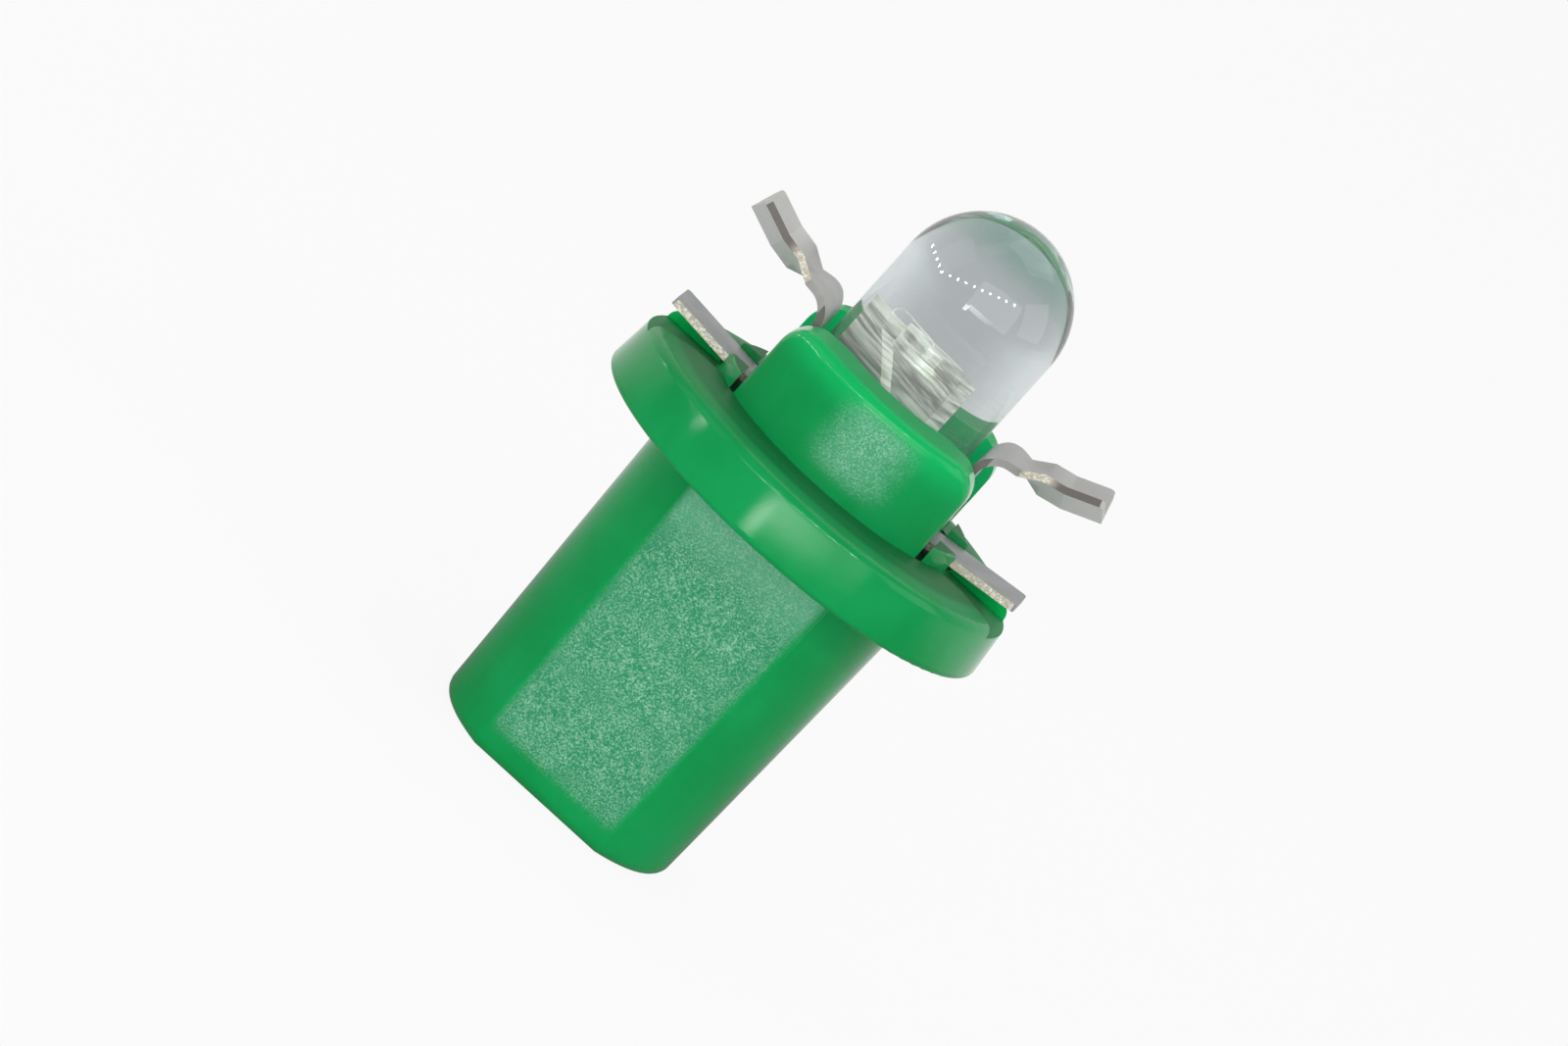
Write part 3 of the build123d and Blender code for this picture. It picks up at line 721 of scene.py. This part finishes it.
def white_floor():
    """Pale floor that stays white to the camera and keeps a soft shadow."""
    bpy.ops.mesh.primitive_plane_add(size=FLOOR_SIZE)
    floor = bpy.context.object
    floor.name = "floor"
    material, tree, shader = new_material("floor_white", Base_Color=FLOOR_GREY, Roughness=0.9)
    x, y, _ = split(tree, object_point(tree))
    # Painted shadow: rays bent through the lens see the floor darker near the lamp.
    bent_level = ramp(tree, absolute(tree, x), *FLOOR_BENT_SHADOW)
    mirrored_level = ramp(tree, y, *FLOOR_MIRRORED)
    level, shown = background_level(tree, bent_level, mirrored_level)
    glow = add(tree, "ShaderNodeEmission")
    feed(tree, glow, Color=WHITE, Strength=total(tree, level, less(tree, 1.0, shown)))
    mix = add(tree, "ShaderNodeMixShader")
    tree.links.new(ramp(tree, shown, 0.0, 1.0, *FLOOR_GLOW), mix.inputs[0])
    tree.links.new(shader.outputs[0], mix.inputs[1])
    tree.links.new(glow.outputs[0], mix.inputs[2])
    tree.links.new(mix.outputs[0], tree.nodes["Material Output"].inputs["Surface"])
    floor.data.materials.append(material)


def studio_world():
    """Soft grey room light that shows as white to the camera."""
    world = bpy.data.worlds.new("studio")
    bpy.context.scene.world = world
    world.use_nodes = True
    tree = world.node_tree
    towards_back = split(tree, add(tree, "ShaderNodeTexCoord").outputs["Generated"])[1]
    bent_level = ramp(tree, towards_back, *ROOM_BENT)
    mirrored_level = ramp(tree, towards_back, *ROOM_MIRRORED)
    level, shown = background_level(tree, bent_level, mirrored_level)
    room = product(tree, less(tree, 1.0, shown), ROOM_LIGHT)
    feed(tree, tree.nodes["Background"], Color=WHITE, Strength=total(tree, level, room))


# ---- camera and lamps -------------------------------------------------------------------
AIM = Vector((0.0, 0.0, 9.56 * MM))
CAMERA_DISTANCE = 400 * MM
CAMERA_AZIMUTH = 1.3
CAMERA_ELEVATION = 12.0
CAMERA_ROLL = 42.0
FRAME_WIDTH = 42.1 * MM
SENSOR = 36.0

# Lamps: azimuth and elevation in degrees, distance, width and height in metres, and watts.
KEY = (18, 14, 0.50, 0.60, 0.50, 1.25)
GLINT_EDGE = (-9.6, -1.2, 0.13, 0.012, 0.018, 0.008)
GLINT_ELEVATION = 2.6
GLINT_DISTANCE = 0.13
GLINT_SIZE = (0.016, 0.015)
GLINTS = ((-4.2, 0.0038), (2.8, 0.0032), (9.8, 0.0026), (16.8, 0.0017), (23.8, 0.0008))
LEFT_FILL = (-75, 25, 0.45, 0.30, 0.30, 0.12)
RIGHT_FILL = (80, 25, 0.45, 0.30, 0.30, 0.30)
TOP = (160, 70, 0.50, 0.35, 0.35, 0.30)

# The row of small lamps is set by where the dome shows it, in dome radii from its middle.
STEPS_TO_BEND = 9
STEPS_TO_END = 4
ROW_START = Vector((0.274, 0.221))
ROW_BEND = Vector((-0.537, -0.032))
ROW_END = Vector((-0.80, 0.116))
ROW_DISTANCE = 0.36
ROW_LAMP = (0.018, 0.018, 0.034)


def direction(azimuth, elevation):
    """The unit vector from the lamp towards an azimuth, from the front, and an elevation."""
    turn = radians(azimuth)
    tilt = radians(elevation)
    return Vector((sin(turn) * cos(tilt), -cos(turn) * cos(tilt), sin(tilt)))


def soft_box(name, azimuth, elevation, distance, width, height, power):
    """An area light that faces the lamp from a direction in degrees."""
    light = bpy.data.lights.new(name, "AREA")
    light.shape = "RECTANGLE"
    light.size = width
    light.size_y = height
    light.energy = power
    lamp = bpy.data.objects.new(name, light)
    bpy.context.collection.objects.link(lamp)
    away = direction(azimuth, elevation)
    lamp.location = AIM + away * distance
    lamp.rotation_euler = away.to_track_quat("Z", "Y").to_euler()


def mirrored_from(across, up):
    """Where the dome's reflection comes from, at a spot given in dome radii from its middle."""
    away = direction(CAMERA_AZIMUTH, CAMERA_ELEVATION)
    turn = radians(CAMERA_AZIMUTH)
    right = Vector((cos(turn), sin(turn), 0.0))
    depth = (1.0 - across * across - up * up) ** 0.5
    normal = right * across + away.cross(right) * up + away * depth
    return normal * (2.0 * depth) - away


def light_row():
    """Small lamps to the left, which the dome shows as a bent row of dots."""
    dome = Vector((0.0, 0.0, DOME_LEVEL))
    for step in range(STEPS_TO_BEND + STEPS_TO_END + 1):
        if step <= STEPS_TO_BEND:
            spot = ROW_START.lerp(ROW_BEND, step / STEPS_TO_BEND)
        else:
            spot = ROW_BEND.lerp(ROW_END, (step - STEPS_TO_BEND) / STEPS_TO_END)
        place = dome + mirrored_from(spot.x, spot.y) * ROW_DISTANCE
        azimuth = degrees(atan2(place.x, -place.y))
        distance = (place - AIM).length
        elevation = degrees(asin((place - AIM).z / distance))
        soft_box(f"row_{step}", azimuth, elevation, distance, *ROW_LAMP)


def lamps():
    """A large key light, small lamps that glint on the rim and the dome, and fill lights."""
    soft_box("key", *KEY)
    soft_box("glint_edge", *GLINT_EDGE)
    for number, (azimuth, power) in enumerate(GLINTS, start=1):
        soft_box(
            f"glint_{number}", azimuth, GLINT_ELEVATION, GLINT_DISTANCE, *GLINT_SIZE, power
        )
    light_row()
    soft_box("left_fill", *LEFT_FILL)
    soft_box("right_fill", *RIGHT_FILL)
    soft_box("top", *TOP)


def camera():
    """Long lens at a low angle, rolled so that the lamp leans to the right."""
    data = bpy.data.cameras.new("camera")
    data.sensor_width = SENSOR
    data.lens = SENSOR * CAMERA_DISTANCE / FRAME_WIDTH
    data.clip_start = 0.01
    data.clip_end = 10.0
    view = bpy.data.objects.new("camera", data)
    bpy.context.collection.objects.link(view)
    away = direction(CAMERA_AZIMUTH, CAMERA_ELEVATION)
    view.location = AIM + away * CAMERA_DISTANCE
    facing = away.to_track_quat("Z", "Y").to_matrix().to_4x4()
    view.rotation_euler = (facing @ Matrix.Rotation(radians(CAMERA_ROLL), 4, "Z")).to_euler()
    bpy.context.scene.camera = view


finish_all()
lens_body()
white_floor()
studio_world()
lamps()
camera()

bpy.context.scene.view_settings.view_transform = "Standard"
